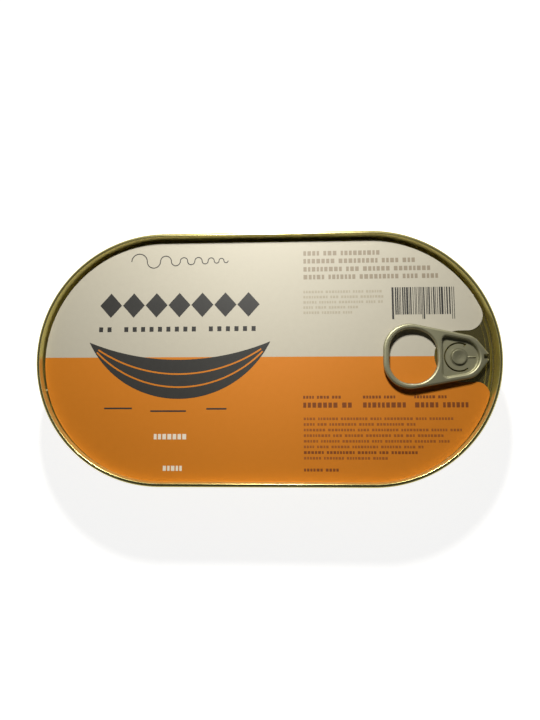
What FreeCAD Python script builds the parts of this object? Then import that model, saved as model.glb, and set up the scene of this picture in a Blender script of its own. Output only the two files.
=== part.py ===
"""Obround fish tin, shut, with an easy-open end: millimetres, X along the tin, Z up.

The origin is the centre of the base. The pull tab is at +X. Four pieces: the drawn can,
the end with its rolled seam and its own rivet, the pull tab held by that rivet, and the
paper label on the end. The hooks folded inside the seam are one solid ring on the end.
"""
import FreeCAD, Part
import Sketcher
import math
import os

SHEET = "Sizes"
BEYOND = 3  # how far a cutting outline runs past the metal

SIZES = [
    ("canLength", 148.2, "over the seam"),
    ("canWidth", 81.5, "over the seam"),
    ("canHeight", 24.4, "base to the seam's top"),
    ("gauge", 0.22, "sheet metal, a fifth of the seam's thickness"),
    ("seamThick", 1.1, "five sheets"),
    ("seamTall", 2.9, "length of the rolled seam"),
    ("crownOuter", 0.55, "seam's outer top radius"),
    ("crownInner", 0.4, "seam's inner top radius"),
    ("curl", 0.22, "chamfer under the seam"),
    ("chuckLean", 0.45, "how far the chuck wall leans in on its way down"),
    ("sinkDepth", 4.0, "countersink below the seam's top"),
    ("sinkWide", 1.2, "countersink at its floor"),
    ("sinkRound", 0.5, "countersink's corner radius"),
    ("panelDepth", 2.52, "panel below the seam's top"),
    ("panelLean", 0.2, "lean of the panel wall"),
    ("panelRound", 0.45, "radius where the panel wall meets the panel"),
    ("scoreInset", 4.4, "score line in from the seam's outside"),
    ("scoreWide", 0.4, ""),
    ("scoreDeep", 0.09, ""),
    ("bodyLean", 0.85, "draft of the drawn wall, top to base"),
    ("baseRound", 2.2, "base corner radius"),
    ("standWide", 2.4, "ring that the tin stands on"),
    ("baseStep", 1.0, "run of the step up to the base panel"),
    ("baseRise", 0.8, "height of that step"),
    ("beadInset", 14.0, "expansion ring in the base"),
    ("beadWide", 1.6, ""),
    ("beadRise", 0.35, ""),
    ("paper", 0.12, "label's thickness"),
    ("paperInset", 2.15, "label's edge in from the seam's outside"),
    ("paperShift", 0.65, "how far the label is stuck towards -Y"),
    ("bayHalf", 8.2, "half width of the label's bay, and its end radius"),
    ("bayCentre", 61.6, "centre of the bay's round end"),
    ("bayCornerFar", 5.0, "corner radius where the bay meets the label's edge, at +Y"),
    ("bayCornerNear", 3.8, "the same at -Y"),
    ("tabBack", 37.1, "ring end of the tab"),
    ("tabNose", 69.6, "nose of the tab"),
    ("ringHalf", 10.35, "half width of the ring"),
    ("ringRound", 8.4, "corner radius of the ring"),
    ("ringBand", 1.8, "width of the curled band"),
    ("shoulderX", 46.3, "where the ring starts to narrow"),
    ("shoulderRound", 7.0, ""),
    ("cheekX", 65.5, "corner of the nose"),
    ("cheekHalf", 6.35, ""),
    ("cheekRound", 3.0, ""),
    ("noseHalf", 0.95, "half width of the nose's tip"),
    ("noseRound", 0.8, ""),
    ("holeRight", 54.0, "finger hole's inner end"),
    ("holeRound", 7.5, ""),
    ("tabTop", 24.3, "top of the tab at its ring"),
    ("tabFall", 0.35, "how much lower the nose is"),
    ("tabThick", 1.45, "over the curled edges"),
    ("curlTop", 0.6, "radius of the curled edges above"),
    ("curlUnder", 0.5, "the same below"),
    ("cupLeft", 55.5, "straight side of the cup round the rivet"),
    ("cupHalf", 6.7, "half width of the cup at that side"),
    ("cupCorner", 1.3, ""),
    ("cupCentre", 61.35, "centre of the cup's round end"),
    ("cupRound", 5.55, "radius of the cup's round end"),
    ("panUnder", 22.3, "underside of the cup's pan, on the rivet's boss"),
    ("floorThick", 0.35, "sheet of the cup's floor"),
    ("panWall", 0.4, "sheet of the cup's sides"),
    ("tongueRound", 5.1, "centre line of the slot that frees the tongue"),
    ("slotWide", 0.42, ""),
    ("slotFrom", 68.0, "degrees from +X, anticlockwise"),
    ("slotTo", 294.0, "degrees"),
    ("nickWide", 0.9, "nick where the slot begins"),
    ("nickDeep", 0.75, ""),
    ("ventWide", 1.3, "notch in the nose"),
    ("ventLong", 1.5, ""),
    ("ventDeep", 0.8, ""),
    ("rivetX", 60.4, "centre of the rivet"),
    ("bossRound", 4.4, "foot radius of the boss under the tongue"),
    ("bossLean", 0.8, ""),
    ("shankRound", 1.75, "rivet's shank"),
    ("headRound", 2.6, "rivet's head"),
    ("headTall", 0.45, ""),
    ("headEdge", 0.2, ""),
    ("dimpleRound", 1.55, "coined dimple in the head"),
    ("dimpleDeep", 0.3, ""),
    ("spineStart", 63.2, "stiffening rib from the rivet towards the nose"),
    ("spineLong", 2.5, ""),
    ("spineWide", 0.55, ""),
    ("spineRound", 0.24, "corners of its outline"),
    ("spineTall", 0.22, ""),
]


class Size:
    """A length with the sheet formula that it comes from, so that one sum gives both."""

    def __init__(self, value, text):
        self.value = value
        self.text = text

    def join(self, other, sign, value):
        return Size(value, f"({self.text} {sign} {other.text})")

    def __add__(self, other):
        other = size(other)
        return self.join(other, "+", self.value + other.value)

    def __sub__(self, other):
        other = size(other)
        return self.join(other, "-", self.value - other.value)

    def __mul__(self, other):
        other = size(other)
        return self.join(other, "*", self.value * other.value)

    def __truediv__(self, other):
        other = size(other)
        return self.join(other, "/", self.value / other.value)

    def __neg__(self):
        return Size(-self.value, f"(-1 * {self.text})")

    def cos(self):
        return Size(math.cos(math.radians(self.value)), f"cos({self.text} * 1deg)")

    def sin(self):
        return Size(math.sin(math.radians(self.value)), f"sin({self.text} * 1deg)")


def size(thing):
    return thing if isinstance(thing, Size) else Size(float(thing), repr(float(thing)))


def make_sheet(doc):
    """The driving sizes, one a row, each with its alias, and the same as Size values."""
    sheet = doc.addObject("Spreadsheet::Sheet", SHEET)
    table = {}
    for row, (alias, value, note) in enumerate(SIZES, start=1):
        sheet.set(f"A{row}", alias)
        sheet.set(f"B{row}", str(value))
        sheet.setAlias(f"B{row}", alias)
        sheet.set(f"C{row}", note)
        table[alias] = Size(float(value), f"{SHEET}.{alias}")
    doc.recompute()
    return table


def origin_plane(body, role):
    return next(item for item in body.Origin.OriginFeatures if item.Role == role)


def new_sketch(body, name, role="XY_Plane"):
    sketch = body.newObject("Sketcher::SketchObject", name)
    sketch.AttachmentSupport = [(origin_plane(body, role), "")]
    sketch.MapMode = "FlatFace"
    return sketch


def bind(sketch, name, constraint, length):
    """Adds a dimension and ties it to the sheet."""
    index = sketch.addConstraint(constraint)
    sketch.renameConstraint(index, name)
    sketch.setExpression(f"Constraints.{name}", size(length).text)


def pin(sketch, name, geometry, place, x, y):
    """Dimensions a point from the sketch's origin."""
    for axis, length in (("X", x), ("Y", y)):
        value = size(length).value
        constraint = Sketcher.Constraint(f"Distance{axis}", -1, 1, geometry, place, value)
        bind(sketch, name + axis, constraint, length)


def corner_arc(mark, before, after):
    """Centre and ends of the arc that rounds a corner between two directions."""
    point = mark["at"]
    turn = math.remainder(after - before, 2 * math.pi)
    reach = mark["r"] * math.tan(abs(turn) / 2)
    start = point - FreeCAD.Vector(math.cos(before), math.sin(before), 0) * reach
    end = point + FreeCAD.Vector(math.cos(after), math.sin(after), 0) * reach
    side = math.copysign(mark["r"], turn)
    centre = start + FreeCAD.Vector(-math.sin(before), math.cos(before), 0) * side
    return centre, start, end, turn


def trace(sketch, corners):
    """A closed outline, anticlockwise, through corners (name, x, y) or (name, x, y, radius).

    A radius rounds the corner, which stays as a construction point that carries the
    dimensions. A fifth value, "centre", says that x and y are the arc's own centre.
    """
    marks = []
    for corner in corners:
        name, x, y = corner[:3]
        radius = size(corner[3]) if len(corner) > 3 else None
        at = FreeCAD.Vector(size(x).value, size(y).value, 0)
        r = radius.value if radius else 0.0
        own = len(corner) > 4
        marks.append({"name": name, "x": x, "y": y, "at": at, "radius": radius, "r": r, "own": own})
    count = len(marks)
    headings = []
    for index, mark in enumerate(marks):
        after = marks[(index + 1) % count]
        gap = after["at"] - mark["at"]
        swing = (mark["r"] if mark["own"] else 0.0) - (after["r"] if after["own"] else 0.0)
        headings.append(math.atan2(gap.y, gap.x) + math.asin(swing / gap.Length))
    for index, mark in enumerate(marks):
        before, after = headings[index - 1], headings[index]
        mark["start"] = mark["end"] = mark["at"]
        mark["turn"] = 1.0
        if mark["own"]:
            mark["centre"] = mark["at"]
            mark["start"] = mark["at"] + FreeCAD.Vector(math.sin(before), -math.cos(before), 0) * mark["r"]
            mark["end"] = mark["at"] + FreeCAD.Vector(math.sin(after), -math.cos(after), 0) * mark["r"]
        elif mark["radius"]:
            mark["centre"], mark["start"], mark["end"], mark["turn"] = corner_arc(mark, before, after)
    for index, mark in enumerate(marks):
        after = marks[(index + 1) % count]
        mark["line"] = sketch.addGeometry(Part.LineSegment(mark["end"], after["start"]), False)
    for index, mark in enumerate(marks):
        incoming = marks[index - 1]["line"]
        if not mark["radius"]:
            sketch.addConstraint(Sketcher.Constraint("Coincident", incoming, 2, mark["line"], 1))
            pin(sketch, mark["name"], mark["line"], 1, mark["x"], mark["y"])
            continue
        ends = [mark["start"] - mark["centre"], mark["end"] - mark["centre"]]
        if mark["turn"] < 0:
            ends.reverse()
        angles = [math.atan2(end.y, end.x) for end in ends]
        circle = Part.Circle(mark["centre"], FreeCAD.Vector(0, 0, 1), mark["r"])
        arc = sketch.addGeometry(Part.ArcOfCircle(circle, angles[0], angles[1]), False)
        first, last = (1, 2) if mark["turn"] > 0 else (2, 1)
        sketch.addConstraint(Sketcher.Constraint("Tangent", incoming, 2, arc, first))
        sketch.addConstraint(Sketcher.Constraint("Tangent", arc, last, mark["line"], 1))
        bind(sketch, mark["name"] + "R", Sketcher.Constraint("Radius", arc, mark["r"]), mark["radius"])
        if mark["own"]:
            pin(sketch, mark["name"], arc, 3, mark["x"], mark["y"])
            continue
        sharp = sketch.addGeometry(Part.Point(mark["at"]), True)
        pin(sketch, mark["name"], sharp, 1, mark["x"], mark["y"])
        sketch.addConstraint(Sketcher.Constraint("PointOnObject", sharp, 1, incoming))
        sketch.addConstraint(Sketcher.Constraint("PointOnObject", sharp, 1, mark["line"]))


def circle(sketch, name, x, y, radius):
    at = FreeCAD.Vector(size(x).value, size(y).value, 0)
    ring = sketch.addGeometry(Part.Circle(at, FreeCAD.Vector(0, 0, 1), size(radius).value), False)
    bind(sketch, name + "R", Sketcher.Constraint("Radius", ring, size(radius).value), radius)
    pin(sketch, name, ring, 3, x, y)


def obround(sketch, name, straight, radius):
    """Two half circles about (straight, 0) and (-straight, 0), joined by straight sides."""
    half, r = straight.value, radius.value
    up = FreeCAD.Vector(0, 0, 1)
    right = Part.ArcOfCircle(Part.Circle(FreeCAD.Vector(half, 0, 0), up, r), -math.pi / 2, math.pi / 2)
    left = Part.ArcOfCircle(Part.Circle(FreeCAD.Vector(-half, 0, 0), up, r), math.pi / 2, 1.5 * math.pi)
    top = Part.LineSegment(FreeCAD.Vector(half, r, 0), FreeCAD.Vector(-half, r, 0))
    bottom = Part.LineSegment(FreeCAD.Vector(-half, -r, 0), FreeCAD.Vector(half, -r, 0))
    ring = [sketch.addGeometry(item, False) for item in (right, top, left, bottom)]
    for index, item in enumerate(ring):
        sketch.addConstraint(Sketcher.Constraint("Tangent", item, 2, ring[(index + 1) % 4], 1))
    sketch.addConstraint(Sketcher.Constraint("Equal", ring[0], ring[2]))
    bind(sketch, name + "R", Sketcher.Constraint("Radius", ring[0], r), radius)
    pin(sketch, name + "Right", ring[0], 3, straight, 0)
    pin(sketch, name + "Left", ring[2], 3, -straight, 0)


def ring_slot(sketch, name, x, radius, width, start, stop):
    """A slot of one width along an arc about (x, 0), with round ends."""
    up = FreeCAD.Vector(0, 0, 1)
    middle = FreeCAD.Vector(x.value, 0, 0)
    a, b = math.radians(start.value), math.radians(stop.value)
    half = width.value / 2
    outer = Part.ArcOfCircle(Part.Circle(middle, up, radius.value + half), a, b)
    inner = Part.ArcOfCircle(Part.Circle(middle, up, radius.value - half), a, b)
    caps = []
    for angle, first in ((a, a - math.pi), (b, b)):
        at = middle + FreeCAD.Vector(math.cos(angle), math.sin(angle), 0) * radius.value
        caps.append(Part.ArcOfCircle(Part.Circle(at, up, half), first, first + math.pi))
    outer, inner, head, tail = [sketch.addGeometry(item, False) for item in (outer, inner, *caps)]
    for cap, near, far, spot in ((head, 2, 1, 1), (tail, 1, 2, 2)):
        sketch.addConstraint(Sketcher.Constraint("Tangent", cap, near, outer, spot))
        sketch.addConstraint(Sketcher.Constraint("Tangent", cap, far, inner, spot))
    sketch.addConstraint(Sketcher.Constraint("Coincident", outer, 3, inner, 3))
    for side, line, reach in (("Outer", outer, radius + width / 2), ("Inner", inner, radius - width / 2)):
        bind(sketch, name + side + "R", Sketcher.Constraint("Radius", line, reach.value), reach)
    pin(sketch, name, outer, 3, x, 0)
    for cap, turn, end in ((head, start, "From"), (tail, stop, "To")):
        reach = x + radius * turn.cos()
        bind(sketch, name + end, Sketcher.Constraint("DistanceX", -1, 1, cap, 3, reach.value), reach)


def pad(body, sketch, name, length, symmetric=False):
    feature = body.newObject("PartDesign::Pad", name)
    feature.Profile = sketch
    feature.Midplane = symmetric
    feature.setExpression("Length", size(length).text)
    return feature


def pocket(body, sketch, name, length):
    feature = body.newObject("PartDesign::Pocket", name)
    feature.Profile = sketch
    feature.setExpression("Length", size(length).text)
    return feature


def cut_through(body, sketch, name):
    feature = body.newObject("PartDesign::Pocket", name)
    feature.Profile = sketch
    feature.Type = "ThroughAll"
    feature.Midplane = True
    return feature


def turn(body, sketch, name, angle):
    """Turns a section about the sketch's upright axis, half the angle each way."""
    feature = body.newObject("PartDesign::Revolution", name)
    feature.Profile = sketch
    feature.ReferenceAxis = (sketch, ["V_Axis"])
    feature.Midplane = True
    feature.Angle = angle
    return feature


def mirror(body, feature, name, role):
    copy = body.newObject("PartDesign::Mirrored", name)
    copy.Originals = [feature]
    copy.MirrorPlane = (origin_plane(body, role), [""])
    body.Tip = copy
    return copy


def fillet(body, base, names, radius, name):
    feature = body.newObject("PartDesign::Fillet", name)
    feature.Base = (base, names)
    feature.setExpression("Radius", size(radius).text)
    return feature


def shift(sketch, axis, length):
    """Moves a sketch along one of its own axes: x, y, or z off its plane."""
    sketch.setExpression(f"AttachmentOffset.Base.{axis}", size(length).text)


def side_of(corners, half_width, sign, word):
    """Corners (name, inset, height) as distances from the middle, on one side of it."""
    placed = []
    for name, inset, height, *rest in corners:
        placed.append((name + word, (half_width - inset) * sign, height, *rest))
    return placed


def round_section(body, name, top, under, straight, half_width):
    """An obround piece from its section: a half turn at each end and a straight between.

    top and under list the section's corners from the outside to the middle, with a
    radius where the corner is round. inset is measured in from the seam's outside.
    """
    end = new_sketch(body, name + "End", "XZ_Plane")
    shift(end, "x", straight)
    middle = [("axisHigh", 0, top[-1][2]), ("axisLow", 0, under[-1][2])]
    trace(end, side_of(top, half_width, 1, "") + middle + side_of(under, half_width, 1, "Low")[::-1])
    mirror(body, turn(body, end, name + "HalfTurn", 180), name + "OtherEnd", "YZ_Plane")
    side = new_sketch(body, name + "Side", "YZ_Plane")
    outline = side_of(top, half_width, 1, "Right") + side_of(top, half_width, -1, "Left")[::-1]
    outline += side_of(under, half_width, -1, "LowLeft") + side_of(under, half_width, 1, "LowRight")[::-1]
    trace(side, outline)
    body.Tip = pad(body, side, name + "Straight", straight * 2, symmetric=True)


def end_underside(z):
    """The surface that the end and the can share, from the seam's foot to the panel."""
    wall = z["seamThick"] - z["gauge"]
    sink = z["canHeight"] - z["sinkDepth"] - z["gauge"]
    sink_inner = z["seamThick"] + z["chuckLean"] + z["sinkWide"] + z["gauge"]
    down = (z["seamTall"] - z["gauge"]) / z["sinkDepth"]
    return [
        ("chuckFoot", wall + z["chuckLean"] * down, z["canHeight"] - z["seamTall"]),
        ("sinkUnder", wall + z["chuckLean"], sink),
        ("sinkInner", sink_inner, sink),
        ("panelUnder", sink_inner + z["panelLean"], z["canHeight"] - z["panelDepth"] - z["gauge"]),
    ]


def can_body(doc, z):
    """The drawn can with its contents: tapered wall, rounded foot, standing ring and panelled base."""
    body = doc.addObject("PartDesign::Body", "Can")
    wall = z["seamThick"] - z["gauge"] * 2
    foot = wall + z["bodyLean"]
    stand = foot + z["baseRound"] + z["standWide"]
    bead = z["beadInset"]
    top = [("foot", foot, 0, z["baseRound"]), ("wallTop", wall, z["canHeight"] - z["seamTall"])]
    under = [
        ("standInner", stand, 0),
        ("stepTop", stand + z["baseStep"], z["baseRise"]),
        ("beadOuter", bead - z["beadWide"] / 2, z["baseRise"]),
        ("beadTop", bead, z["baseRise"] + z["beadRise"]),
        ("beadInner", bead + z["beadWide"] / 2, z["baseRise"]),
    ]
    straight = (z["canLength"] - z["canWidth"]) / 2
    round_section(body, "can", top + end_underside(z), under, straight, z["canWidth"] / 2)
    body.Label = "can_body"
    return body


def lid(doc, z):
    """The easy-open end: rolled seam, chuck wall, countersink, scored panel and its own rivet."""
    body = doc.addObject("PartDesign::Body", "Lid")
    height = z["canHeight"]
    sink = height - z["sinkDepth"]
    panel = height - z["panelDepth"]
    sink_outer = z["seamThick"] + z["chuckLean"]
    sink_inner = sink_outer + z["sinkWide"]
    score = z["scoreInset"]
    top = [
        ("curlLow", z["curl"], height - z["seamTall"]),
        ("curlSide", 0, height - z["seamTall"] + z["curl"]),
        ("crownOuter", 0, height, z["crownOuter"]),
        ("crownInner", z["seamThick"], height, z["crownInner"]),
        ("sinkOuter", sink_outer, sink, z["sinkRound"]),
        ("sinkInner", sink_inner, sink, z["sinkRound"]),
        ("panelEdge", sink_inner + z["panelLean"], panel, z["panelRound"]),
        ("scoreOuter", score - z["scoreWide"] / 2, panel),
        ("scoreRoot", score, panel - z["scoreDeep"]),
        ("scoreInner", score + z["scoreWide"] / 2, panel),
    ]
    straight = (z["canLength"] - z["canWidth"]) / 2
    round_section(body, "lid", top, end_underside(z), straight, z["canWidth"] / 2)
    add_rivet(body, z, panel)
    body.Label = "lid"
    return body


def add_rivet(body, z, panel):
    """Boss, shank and coined head, drawn from the panel's own metal and clamping the tongue."""
    sketch = new_sketch(body, "rivetSection", "XZ_Plane")
    shift(sketch, "x", z["rivetX"])
    root = panel - z["gauge"] / 2
    grip = z["panUnder"] + z["floorThick"]
    crest = grip + z["headTall"]
    trace(sketch, [
        ("root", 0, root),
        ("bossRoot", z["bossRound"], root),
        ("bossFoot", z["bossRound"], panel),
        ("bossTop", z["bossRound"] - z["bossLean"], z["panUnder"]),
        ("shankFoot", z["shankRound"], z["panUnder"]),
        ("shankTop", z["shankRound"], grip),
        ("headUnder", z["headRound"], grip),
        ("headEdge", z["headRound"], crest, z["headEdge"]),
        ("dimpleEdge", z["dimpleRound"], crest),
        ("dimpleFloor", 0, crest - z["dimpleDeep"]),
    ])
    body.Tip = turn(body, sketch, "rivet", 360)


def pull_tab(doc, z):
    """The tab: curled ring and rails, a cup round the rivet, and a tongue freed in the cup's floor."""
    body = doc.addObject("PartDesign::Body", "Tab")
    sky = z["tabTop"] + BEYOND
    band = z["ringBand"]
    plan = new_sketch(body, "plan")
    shift(plan, "z", z["panUnder"])
    trace(plan, tab_outline(z))
    pad(body, plan, "blank", sky - z["panUnder"])
    trim_side(body, z, sky)
    ring = cut_plan(body, "fingerHole", sky, sky, [
        ("holeBackFar", z["tabBack"] + band, z["ringHalf"] - band, z["ringRound"] - band),
        ("holeBackNear", z["tabBack"] + band, band - z["ringHalf"], z["ringRound"] - band),
        ("holeNear", z["holeRight"], band - z["ringHalf"], z["holeRound"]),
        ("holeFar", z["holeRight"], z["ringHalf"] - band, z["holeRound"]),
    ])
    doc.recompute()
    fillet(body, ring, [flat_face(ring.Shape, -1)], z["curlUnder"], "curlUnder")
    floor = z["panUnder"] + z["floorThick"]
    pan = new_sketch(body, "panPlan")
    shift(pan, "z", z["panUnder"])
    trace(pan, cup_outline(z, "pan", z["panWall"]))
    pad(body, pan, "pan", z["tabThick"] / 2)
    hollow = cut_plan(body, "cup", sky, sky - floor, cup_outline(z, "cup", 0))
    doc.recompute()
    fillet(body, hollow, [flat_face(hollow.Shape, 1)], z["curlTop"], "curlTop")
    free_tongue(body, z, floor)
    notch_nose(body, z)
    body.Label = "pull_tab"
    return body


def cup_outline(z, name, wall):
    """A straight side towards the ring, and sides that close in to a round end about the rivet."""
    return [
        (name + "Far", z["cupLeft"] - wall, z["cupHalf"] + wall, z["cupCorner"] + wall),
        (name + "Near", z["cupLeft"] - wall, -z["cupHalf"] - wall, z["cupCorner"] + wall),
        (name + "End", z["cupCentre"], 0, z["cupRound"] + wall, "centre"),
    ]


def tab_outline(z):
    half = [
        ("shoulder", z["shoulderX"], z["ringHalf"], z["shoulderRound"]),
        ("cheek", z["cheekX"], z["cheekHalf"], z["cheekRound"]),
        ("nose", z["tabNose"], z["noseHalf"], z["noseRound"]),
    ]
    far = [(name + "Far", x, y, *rest) for name, x, y, *rest in half]
    near = [(name + "Near", x, -y, *rest) for name, x, y, *rest in half]
    back = [
        ("backFar", z["tabBack"], z["ringHalf"], z["ringRound"]),
        ("backNear", z["tabBack"], -z["ringHalf"], z["ringRound"]),
    ]
    return near + far[::-1] + back


def cut_plan(body, name, height, depth, corners):
    """Cuts an outline seen from above, from a height down by a depth."""
    sketch = new_sketch(body, name + "Plan")
    shift(sketch, "z", height)
    trace(sketch, corners)
    return pocket(body, sketch, name, depth)


def trim_side(body, z, sky):
    """Gives the blank its side view, one thickness that falls from the ring to the nose."""
    back = z["tabBack"] - BEYOND
    nose = z["tabNose"] + BEYOND
    slope = z["tabFall"] / (z["tabNose"] - z["tabBack"])
    crest = [z["tabTop"] + slope * BEYOND, z["tabTop"] - z["tabFall"] - slope * BEYOND]
    above = new_sketch(body, "sideAbove", "XZ_Plane")
    trace(above, [
        ("topBack", back, crest[0]),
        ("topNose", nose, crest[1]),
        ("skyNose", nose, sky + BEYOND),
        ("skyBack", back, sky + BEYOND),
    ])
    cut_through(body, above, "trimAbove")
    below = new_sketch(body, "sideBelow", "XZ_Plane")
    low = z["panUnder"] - BEYOND
    trace(below, [
        ("lowBack", back, low),
        ("lowNose", nose, low),
        ("underNose", nose, crest[1] - z["tabThick"]),
        ("underBack", back, crest[0] - z["tabThick"]),
    ])
    cut_through(body, below, "trimBelow")


def flat_face(shape, up):
    """The name of the topmost flat face that looks up, or the lowest that looks down."""
    best = None
    for index, face in enumerate(shape.Faces, start=1):
        if face.Surface.TypeId != "Part::GeomPlane" or face.normalAt(0, 0).z * up < 0.9:
            continue
        reach = face.CenterOfMass.z * up
        if best is None or reach > best[0]:
            best = (reach, f"Face{index}")
    return best[1]


def free_tongue(body, z, floor):
    """A slot round the rivet that leaves a tongue hinged at the nose, with its nick, hole and rib."""
    slot = new_sketch(body, "tongueSlotPlan")
    ring_slot(slot, "slot", z["cupCentre"], z["tongueRound"], z["slotWide"], z["slotFrom"], z["slotTo"])
    cut_through(body, slot, "tongueSlot")
    along, across = z["slotFrom"].cos(), z["slotFrom"].sin()
    tip = z["tongueRound"] - z["slotWide"] / 2 - z["nickDeep"]
    mouth = z["tongueRound"]
    half = z["nickWide"] / 2
    nick = new_sketch(body, "nickPlan")
    trace(nick, [
        ("nickTip", z["cupCentre"] + tip * along, tip * across),
        ("nickRight", z["cupCentre"] + mouth * along + half * across, mouth * across - half * along),
        ("nickLeft", z["cupCentre"] + mouth * along - half * across, mouth * across + half * along),
    ])
    cut_through(body, nick, "nick")
    hole = new_sketch(body, "rivetHolePlan")
    circle(hole, "rivetHole", z["rivetX"], 0, z["shankRound"])
    cut_through(body, hole, "rivetHole")
    rib = new_sketch(body, "ribPlan")
    shift(rib, "z", floor)
    start = z["spineStart"]
    side = z["spineWide"] / 2
    trace(rib, [
        ("ribBackNear", start, -side, z["spineRound"]),
        ("ribNoseNear", start + z["spineLong"], -side, z["spineRound"]),
        ("ribNoseFar", start + z["spineLong"], side, z["spineRound"]),
        ("ribBackFar", start, side, z["spineRound"]),
    ])
    body.Tip = pad(body, rib, "rib", z["spineTall"])


def notch_nose(body, z):
    """A vee in the top of the nose, where the curled rails meet."""
    notch = new_sketch(body, "notchSection", "YZ_Plane")
    shift(notch, "z", z["tabNose"] + BEYOND)
    top = z["tabTop"] - z["tabFall"] + BEYOND
    root = z["tabTop"] - z["tabFall"] - z["ventDeep"]
    widen = z["ventWide"] / 2 / z["ventDeep"] * (z["ventDeep"] + BEYOND)
    trace(notch, [("notchRoot", 0, root), ("notchRight", widen, top), ("notchLeft", -widen, top)])
    body.Tip = pocket(body, notch, "notch", z["ventLong"] + BEYOND)


def label(doc, z):
    """The paper label: it follows the can's outline and is cut away round the tab's nose."""
    body = doc.addObject("PartDesign::Body", "Paper")
    panel = z["canHeight"] - z["panelDepth"]
    plan = new_sketch(body, "labelPlan")
    shift(plan, "z", panel)
    shift(plan, "y", -z["paperShift"])
    straight = (z["canLength"] - z["canWidth"]) / 2
    obround(plan, "label", straight, z["canWidth"] / 2 - z["paperInset"])
    pad(body, plan, "sheet", z["paper"])
    end = z["canLength"] / 2 + BEYOND
    bay = cut_plan(body, "bay", panel + z["paper"], z["paper"] * 2, [
        ("bayEnd", z["bayCentre"], 0, z["bayHalf"], "centre"),
        ("bayNear", end, -z["bayHalf"]),
        ("bayFar", end, z["bayHalf"]),
    ])
    doc.recompute()
    far = fillet(body, bay, [bay_corner(bay.Shape, z, 1)], z["bayCornerFar"], "bayCornerFar")
    doc.recompute()
    near = bay_corner(far.Shape, z, -1)
    body.Tip = fillet(body, far, [near], z["bayCornerNear"], "bayCornerNear")
    body.Label = "label"
    return body


def bay_corner(shape, z, side):
    """The name of the upright edge where the bay meets the label's outline, at +Y or -Y."""
    corner = FreeCAD.Vector(z["canLength"].value / 2, z["bayHalf"].value * side, z["canHeight"].value)
    nearest = None
    for index, edge in enumerate(shape.Edges, start=1):
        ends = [vertex.Point for vertex in edge.Vertexes]
        if len(ends) < 2 or abs(ends[0].z - ends[1].z) < z["paper"].value / 2:
            continue
        gap = edge.CenterOfMass.distanceToPoint(corner)
        if nearest is None or gap < nearest[0]:
            nearest = (gap, f"Edge{index}")
    return nearest[1]


def main():
    doc = FreeCAD.newDocument("FishTin")
    z = make_sheet(doc)
    pieces = [make(doc, z) for make in (can_body, lid, pull_tab, label)]
    doc.recompute()
    for item in doc.Objects:
        if "Invalid" in item.State or "Error" in item.State:
            raise SystemExit(f"{item.Name} failed: {item.State}")
    for piece in pieces:
        if piece.Shape.isNull() or not piece.Shape.isValid() or len(piece.Shape.Solids) != 1:
            raise SystemExit(f"{piece.Label} isn't one valid solid")
    os.makedirs("parts", exist_ok=True)
    for piece in pieces:
        piece.Shape.exportStep(f"parts/{piece.Label}.step")
        print(f"{piece.Label}: {len(piece.Shape.Faces)} faces, {piece.Shape.Volume:.1f} mm3")


main()
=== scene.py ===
import math
import random

import bmesh
import bpy
from mathutils import Matrix, Vector


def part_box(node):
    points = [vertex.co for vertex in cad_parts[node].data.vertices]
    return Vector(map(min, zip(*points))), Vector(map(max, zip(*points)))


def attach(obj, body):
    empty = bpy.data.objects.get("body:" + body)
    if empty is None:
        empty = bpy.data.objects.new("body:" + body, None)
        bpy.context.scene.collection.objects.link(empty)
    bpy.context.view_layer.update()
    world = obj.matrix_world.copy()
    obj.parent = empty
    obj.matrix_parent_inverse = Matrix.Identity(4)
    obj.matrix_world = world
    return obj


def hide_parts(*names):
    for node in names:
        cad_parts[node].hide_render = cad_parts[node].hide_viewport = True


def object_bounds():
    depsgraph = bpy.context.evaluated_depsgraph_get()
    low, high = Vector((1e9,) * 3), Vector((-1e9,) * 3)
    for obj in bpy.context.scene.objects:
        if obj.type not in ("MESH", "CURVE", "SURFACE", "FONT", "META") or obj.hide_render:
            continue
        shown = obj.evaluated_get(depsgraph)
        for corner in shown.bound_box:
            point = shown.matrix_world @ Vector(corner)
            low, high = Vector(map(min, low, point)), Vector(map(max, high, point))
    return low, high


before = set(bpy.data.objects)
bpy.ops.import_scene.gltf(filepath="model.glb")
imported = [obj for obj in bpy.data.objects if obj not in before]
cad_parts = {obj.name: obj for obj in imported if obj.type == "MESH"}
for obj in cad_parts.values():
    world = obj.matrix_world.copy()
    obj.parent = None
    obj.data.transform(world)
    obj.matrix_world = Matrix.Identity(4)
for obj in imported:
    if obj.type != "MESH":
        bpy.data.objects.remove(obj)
cadLow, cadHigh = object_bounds()

mm = 0.001
weld = 0.0005          # points closer than this are one
sliver = 0.0001        # and edges shorter than this go
halfLong, halfWide, canTop = (value / mm for value in cadHigh)
endCentre = halfLong - halfWide          # centre of each round end
tabLow, tabHigh = (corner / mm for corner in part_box("pull_tab"))
labelLow, labelHigh = (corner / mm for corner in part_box("label"))


# modelling helpers, all in millimetres

def lineFrom(bm, vert, x, y):
    tip = bm.verts.new((x, y, vert.co.z))
    bm.edges.new((vert, tip))
    return tip


def arcFrom(bm, vert, centre, degrees, steps):
    made = bmesh.ops.spin(bm, geom=[vert], cent=(*centre, vert.co.z), axis=(0, 0, 1),
                          angle=math.radians(degrees), steps=steps)
    return next(item for item in made["geom_last"] if isinstance(item, bmesh.types.BMVert))


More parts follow.
